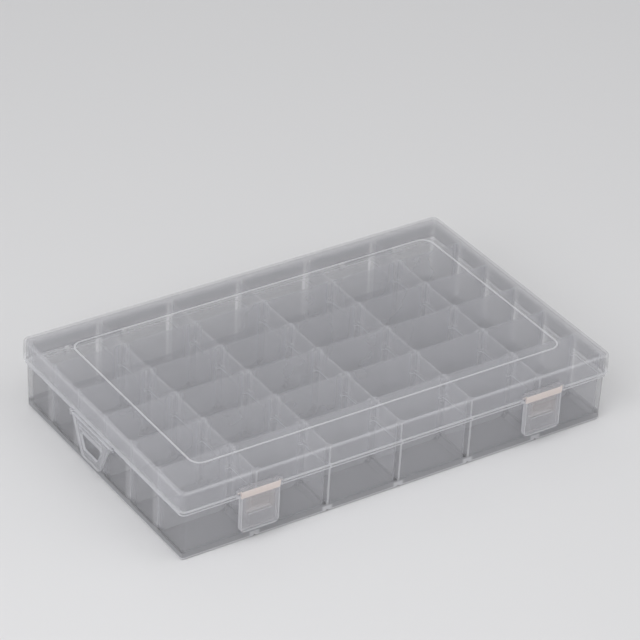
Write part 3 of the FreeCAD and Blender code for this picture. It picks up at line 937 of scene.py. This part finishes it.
LID = MilkyFinish(
    name="milky_lid", slot="lid", milk=(0.54, 0.543, 0.575), clear_share=0.925, roughness=0.28, cloud=0.12,
    marks=(
        # Painted shade: the lid's skirt at the right end and at the back is painted darker.
        Mark("far skirts", TintAndPaintedLight.FAR, 0.28, (Span(Axis.Z, 37.5, 4.5, 1.0),), (
            Span(Axis.X, 136.5, 1.6, 0.4),
            Span(Axis.Y, 85.2, 1.6, 0.4),
        )),
        # Painted highlight: a lighter line along the top edge of the lid's sides.
        Mark("top edge", TintAndPaintedLight.RIM, 0.26, (Span(Axis.Z, 42.9, 0.3, 0.6),), outer_walls(1.0, 0.5)),
        # Painted highlight: a bright line along the lid's lower rim.
        Mark("rim", TintAndPaintedLight.EDGE, 0.42, (Span(Axis.Z, 31.6, 0.1, 0.3),)),
        # Painted highlight: the lid is painted lighter about 44 mm up, at its top.
        Mark("bead", TintAndPaintedLight.BEAD, 0.48, (Span(Axis.Z, 44.0, 0.3, 0.08),)),
    ),
)
LATCH = MilkyFinish(
    name="milky_latch", slot="latch", milk=(0.57, 0.565, 0.59), clear_share=0.80, roughness=0.3, cloud=0.1,
    marks=(
        # Painted highlight: bright lines along the edges of the latch flaps.
        Mark("flap edges", TintAndPaintedLight.EDGE, 0.36, (Span(Axis.Z, 18.0, 13.0, 0.3),), (
            Span(Axis.X, LATCH_X + FLAP_HALF, 0.3, 0.3, mirrored=True),
            Span(Axis.X, LATCH_X - FLAP_HALF, 0.3, 0.3, mirrored=True),
            Span(Axis.Z, 9.3, 0.3, 0.3),
        )),
        Mark("flap middle", TintAndPaintedLight.PEACH, 0.22, (
            Span(Axis.X, LATCH_X, 8.0, 1.0, mirrored=True),
            Span(Axis.Z, 26.0, 5.0, 1.5),
        )),
        # Painted highlight: a bright line at the hook's lower edge, seen through the flap.
        Mark("hook line", TintAndPaintedLight.EDGE, 0.32, (
            Span(Axis.X, LATCH_X, 7.0, 0.5, mirrored=True),
            Span(Axis.Z, 19.8, 0.3, 0.3),
        )),
        Mark("pivot bar", TintAndPaintedLight.PIVOT, 0.88, (
            Span(Axis.Y, -88.0, 1.2, 0.5),
            Span(Axis.Z, 33.0, 2.0, 0.5),
        )),
    ),
)
LOOP = MilkyFinish(
    name="milky_loop", slot="loop", milk=(0.58, 0.583, 0.615), clear_share=0.87, roughness=0.3, cloud=0.1,
    # Loop edges: more cover for the plastic's depth, and a painted highlight.
    flat=Axis.X,
)
DIVIDER = MilkyFinish(
    name="milky_divider", slot="divider", milk=(0.70, 0.703, 0.735), clear_share=0.77,
    roughness=0.38, cloud=0.12,
    marks=(
        # Painted light: soft lighter bands on each divider beside the column walls.
        Mark("sides", TintAndPaintedLight.RIM, 0.32, (columns(3.4, 2.6), Span(Axis.Z, 27.0, 12.0, 6.0))),
        # Painted light: the lower part of each divider is painted lighter.
        Mark("foot", TintAndPaintedLight.BEAD, 0.36, (Span(Axis.Z, 7.0, 6.0, 8.0),)),
        Mark("top", TintAndPaintedLight.COLUMN, 0.14, (Span(Axis.Z, 41.3, 0.3, 0.3),)),
    ),
)
LAMPS = (
    SoftBox("key_softbox", azimuth=-62.0, elevation=42.0, distance=1.6, size=1.2, watts=13.5),
    SoftBox("fill_softbox", azimuth=48.0, elevation=35.0, distance=1.8, size=1.4, watts=6.0),
    SoftBox("top_softbox", azimuth=20.0, elevation=80.0, distance=1.8, size=1.4, watts=4.5),
    SoftBox("back_softbox", azimuth=165.0, elevation=40.0, distance=1.8, size=1.4, watts=2.5),
)


def main() -> None:
    """Build the finishes, the dividers and the studio in order."""
    logging.basicConfig(level=logging.INFO, format="%(name)s: %(message)s")
    shop = FinishShop(Skin())
    Housing(tray=TRAY, lid=LID, latch=LATCH, loop=LOOP).dress(shop)
    DividerSet(DIVIDER).build(shop)
    Studio(LAMPS).build()


if __name__ == "__main__":
    main()
